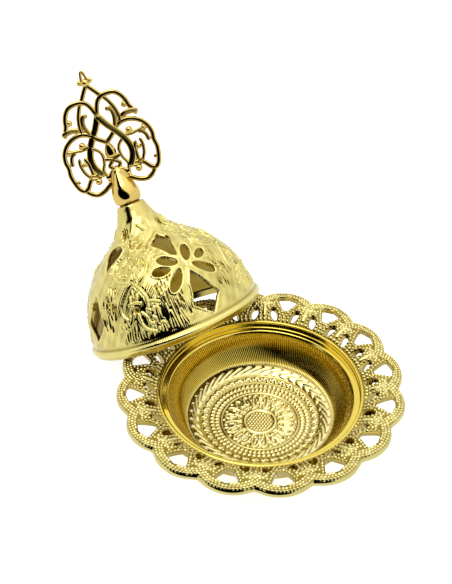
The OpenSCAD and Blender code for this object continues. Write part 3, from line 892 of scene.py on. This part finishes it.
# right-hand strokes: width, grooves along the front, then [across, height] from the rim
STROKES = [
    # tip loop and the rods down to the arches
    (1.6, 0, [[-0.5, 133.6], [0.5, 132.9], [1, 131.3], [1.5, 128.7]]),
    (2.6, 1, [[-0.8, 126.7], [1, 125.3], [3.1, 122.5], [5.1, 119.6]]),
    # upper arch and its outward leaf
    (2.7, 1, [[0, 110.4], [0.6, 113], [1.5, 115.6], [2.9, 118], [5.3, 119.5], [8.5, 119.9],
              [11.9, 119.1], [14.3, 116.8], [15.7, 113.8], [16.4, 110.8], [17.9, 108.6]]),
    (3, 2, [[10.3, 106.6], [13, 108], [16.2, 108.2], [19.9, 107.3]]),
    # rod and leaf inside the upper arch
    (2.3, 1, [[5.9, 119], [7.8, 115.8], [9.4, 111.8], [10.1, 106.8], [8.9, 104.6]]),
    (2.6, 2, [[4.5, 112.6], [6.5, 112.8], [7.7, 111], [7.8, 108], [6.9, 104.6],
              [7.3, 102.9]]),
    # crossing ribbon
    (3.8, 2, [[-0.6, 111.8], [0.6, 109.8], [3.1, 105.6], [5.9, 101.9], [8.6, 97.7],
              [10.3, 93.1], [10.3, 89.3], [8.8, 85.8], [6.3, 82.6]]),
    # lower arch, from the middle round to its bottom curl
    (2.7, 1, [[-0.8, 97.2], [3.5, 100.3], [7.1, 103.6], [11.2, 105.1], [15.4, 104.5],
              [19.3, 102.2], [21.7, 98.9], [22.6, 95.1], [22.2, 91.7], [22.6, 88.1],
              [21.9, 84], [20.6, 80.4], [18.6, 78.8], [16.5, 79.6], [14.8, 81.8],
              [13, 83.8]]),
    # curls inside the lower arch
    (2, 0, [[19.3, 98.7], [16.2, 98.3], [12.8, 97.9], [10.3, 98.3], [8.5, 98.9]]),
    (2.3, 1, [[19.9, 91.7], [19.5, 94.9], [18.1, 97.1], [15.8, 98.1]]),
    (1.9, 0, [[22.1, 83.8], [20.3, 84], [19.3, 83]]),
    # tulip
    (2, 1, [[15.6, 94.7], [16.3, 91.3], [15.5, 87.2], [13.6, 84]]),
    (2.3, 1, [[13.5, 94.1], [12.2, 91.1], [11.9, 87.7], [11.9, 84.2]]),
    (1.8, 0, [[8.1, 84.8], [10.9, 84.2], [14.2, 85]]),
    (1.8, 0, [[7.8, 83.1], [10.8, 82.5], [13.8, 83.3]]),
    # bottom arc and the strap to the knob
    (2.7, 1, [[18.3, 79], [16.6, 76.8], [14.2, 75.2], [11.5, 75], [8.1, 76.2],
              [4.1, 79]]),
    (3, 1, [[0, 84], [2.5, 83], [4.7, 81.4], [6.3, 82.6]]),
    # inner strut and the tie under the bud
    (2, 0, [[8.7, 97.7], [5.3, 94.9], [4.3, 91.9], [4.9, 88.3], [6.3, 85.2], [5.5, 81.6]]),
    (2.3, 1, [[-4.9, 90.5], [-1, 89.1], [2.7, 86.4], [0.6, 84.2]]),
]
BALLS = [[2.6, 128.3, 1.5], [14.2, 112.2, 1.7], [12.2, 99.9, 1.9], [19.4, 98.7, 1.7],
         [10.5, 81, 1.9], [14, 90.9, 1.4], [18.3, 106.8, 1.2], [4.9, 79.8, 1.4]]
BUD = smooth([[0, 98.7], [1.7, 96.3], [2.7, 93.5], [2.4, 90.9], [0.2, 88.9]], 4)


def crest_point(x, depth, h):
    """From the crest's own plane, with depth towards the front, to the upright lid."""
    c, s = math.cos(CREST_LEAN), math.sin(CREST_LEAN)
    h = h - CREST_H
    across = x * c + h * s + CREST_SHIFT[0]
    up = h * c - x * s + CREST_H + CREST_SHIFT[1]
    return np.stack([across, -depth, up], -1) @ about_z(CREST_TURN).T


def rod(skin, points, width, grooves, side, lift=0.0):
    """A cast strand along the points, domed front and back and grooved along its length."""
    line = evenly(smooth(points, 8), 0.42)
    d = np.gradient(line, axis=0)
    d /= np.hypot(*d.T)[:, None]
    n = np.stack([-d[:, 1], d[:, 0]], 1)
    s = length_along(line)
    end = np.minimum(s, s[-1] - s)
    cap = np.sqrt(np.clip(1 - (1 - np.clip(end / (width / 2), 0, 1)) ** 2, 0.02, 1))
    phi = np.linspace(0, 2 * np.pi, 28, endpoint=False)
    across = np.cos(phi)
    thick = min(CREST_T, width * 1.25)
    groove = 0.0
    if grooves:
        groove = 0.24 * np.abs(np.cos(np.pi * (grooves + 1) / 2 * (across + 1))) ** 6
        groove = groove * (np.abs(across) < 0.8)
    deep = np.sign(np.sin(phi)) * np.abs(np.sin(phi)) ** 0.85 * thick / 2
    deep = deep * (1 - groove)
    x = line[:, :1] + n[:, :1] * across * width / 2 * cap[:, None]
    h = line[:, 1:] + n[:, 1:] * across * width / 2 * cap[:, None]
    grid = crest_point(side * x, deep * cap[:, None] + lift, h).transpose(1, 0, 2)
    painted_streak = 0.2 if grooves == 2 else 0.8            # painted dark reflection along the middle of the strand
    painted_streak = painted_streak * np.exp(-((across / 0.42) ** 4))
    # painted shade in the grooves, and a painted dark reflection down the strand's middle
    tone = np.clip(np.tile((0.95 - 3.4 * groove - painted_streak)[:, None], (1, len(line))), 0, 1)
    skin.grid(grid, tone, flip=side > 0)


def ball(skin, x, h, radius, side):
    a = np.linspace(0, 2 * np.pi, 24, endpoint=False)[:, None]
    e = np.linspace(-np.pi / 2, np.pi / 2, 13)
    rings = 1 - 0.1 * np.abs(np.cos(5 * e)) ** 4
    grid = crest_point(side * (x + radius * np.cos(e) * np.cos(a) * rings),
                       radius * 0.92 * np.sin(e) + 0 * a,
                       h + radius * np.cos(e) * np.sin(a) * rings)
    skin.grid(grid, 0.9, flip=side < 0)


def make_crest():
    skin = Skin()
    for width, grooves, points in STROKES:
        for side in (1, -1):
            over = 0.25 if grooves == 2 and side > 0 else 0.0
            rod(skin, points, width, grooves, side, over)
    for x, h, radius in BALLS:
        for side in (1, -1):
            ball(skin, x, h, radius, side)
    ball(skin, 0, 127.6, 2.2, 1)
    a = np.linspace(0, 2 * np.pi, 24, endpoint=False)[:, None]
    flutes = 1 + 0.07 * np.cos(6 * a)
    skin.grid(crest_point(BUD[:, 0] * np.cos(a) * flutes, BUD[:, 0] * np.sin(a) * 0.55 * flutes,
                          BUD[:, 1] + 0 * a), 0.8)
    cup = smooth([[0.02, 86.0], [1.8, 84.8], [3.6, 83.0], [4.9, 80.4], [5.6, 78.6]], 5)
    skin.grid(crest_point(cup[:, 0] * np.cos(a), cup[:, 0] * np.sin(a) * 0.62,
                          cup[:, 1] + 0 * a), 0.6)
    skin.piece("crest_openwork", "lid", ["finial_crest"], "finial_gilt", crest_gold, leaning)


# ---------------------------------------------------------------- stage

def make_camera():
    """From in front and above, looking down into the bowl."""
    data = bpy.data.cameras.new("camera")
    data.lens, data.sensor_width = 58.909, 36
    camera = bpy.data.objects.new("camera", data)
    camera.location = (0, -0.316080, 0.335710)
    camera.rotation_euler = [math.radians(a) for a in (51.204, 0.3256, 2.5615)]
    bpy.context.scene.collection.objects.link(camera)
    bpy.context.scene.camera = camera


def make_floor():
    n = Nodes("floor_white")
    here = n.add("ShaderNodeTexCoord").outputs["Object"]
    colour = n.mix(n.noise(40.0, 2.0, here), (0.93, 0.93, 0.93), (0.95, 0.95, 0.95))
    n.shader.inputs["Emission Color"].default_value = (1, 1, 1, 1)
    n.shader.inputs["Emission Strength"].default_value = 0.75
    material = n.drive(Base_Color=colour, Roughness=0.9)
    mesh = bpy.data.meshes.new("floor")
    w = 4.0                           # half its side, in metres
    mesh.from_pydata([(-w, -w, 0), (w, -w, 0), (w, w, 0), (-w, w, 0)], [], [(0, 1, 2, 3)])
    mesh.materials.append(material)
    floor = bpy.data.objects.new("floor", mesh)
    bpy.context.scene.collection.objects.link(floor)
    floor.visible_glossy = False      # the metal mirrors the studio below instead


def make_studio():
    """White surroundings for the metal to mirror, with two dark patches in front and a bright
    one overhead."""
    world = bpy.data.worlds.new("studio")
    bpy.context.scene.world = world
    world.use_nodes = True
    tree = world.node_tree
    nodes, links = tree.nodes, tree.links
    background = nodes["Background"]
    way = nodes.new("ShaderNodeTexCoord").outputs["Generated"]

    def add(kind, **settings):
        node = nodes.new(kind)
        for key, value in settings.items():
            setattr(node, key, value)
        return node

    def math_node(operation, a, b):
        node = add("ShaderNodeMath", operation=operation)
        for k, value in enumerate((a, b)):
            if isinstance(value, bpy.types.NodeSocket):
                links.new(value, node.inputs[k])
            else:
                node.inputs[k].default_value = value
        return node.outputs[0]

    def dot_with(direction):
        node = add("ShaderNodeVectorMath", operation="DOT_PRODUCT")
        links.new(way, node.inputs[0])
        node.inputs[1].default_value = direction
        return node.outputs["Value"]

    def patch(direction, wide, high, inner, outer):
        """1 towards a direction, falling to 0 between two shares of its half-angles."""
        d = np.array(direction, float)
        d /= np.linalg.norm(d)
        side = np.cross(d, [0, 0, 1])
        side /= np.linalg.norm(side)
        parts = []
        for axis, angle in ((side, wide), (np.cross(side, d), high)):
            part = math_node("DIVIDE", dot_with(axis), math.sin(math.radians(angle)))
            parts.append(math_node("MULTIPLY", part, part))
        ramp = add("ShaderNodeMapRange", interpolation_type="SMOOTHSTEP")
        links.new(math_node("SQRT", math_node("ADD", *parts), 0), ramp.inputs["Value"])
        ramp.inputs["From Min"].default_value = outer
        ramp.inputs["From Max"].default_value = inner
        ahead = math_node("GREATER_THAN", dot_with(d), 0.0)
        return math_node("MULTIPLY", ramp.outputs["Result"], ahead)

    up = add("ShaderNodeMapRange", interpolation_type="SMOOTHSTEP")
    links.new(dot_with((0, 0, 1)), up.inputs["Value"])
    for socket, value in (("From Min", 0.4), ("From Max", 0.95), ("To Min", 0.97),
                          ("To Max", 1.3)):
        up.inputs[socket].default_value = value
    level = up.outputs["Result"]
    front = patch((-0.22, -0.88, 0.42), 48, 28, 0.88, 1.08)
    slant = patch((-0.58, -0.44, 0.69), 22, 12, 0.9, 1.12)
    dark = math_node("MAXIMUM", front, slant)
    key = patch((-0.22, -0.18, 0.96), 16, 18, 0.75, 1.1)
    strength = math_node("MULTIPLY", math_node("SUBTRACT", 1.0, dark), level)
    strength = math_node("ADD", strength, math_node("MULTIPLY", key, 2.4))
    links.new(strength, background.inputs["Strength"])
    background.inputs["Color"].default_value = (1, 1, 0.985, 1)


make_camera()
make_floor()
make_studio()
make_collar()
make_bowl()
make_foot()
make_dome()
make_knob()
make_crest()
screws = steel()
for node in ("lid_screw", "lid_washer"):
    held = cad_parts[node].data.materials
    held.clear()
    held.append(screws)

bpy.context.scene.view_settings.view_transform = "Standard"
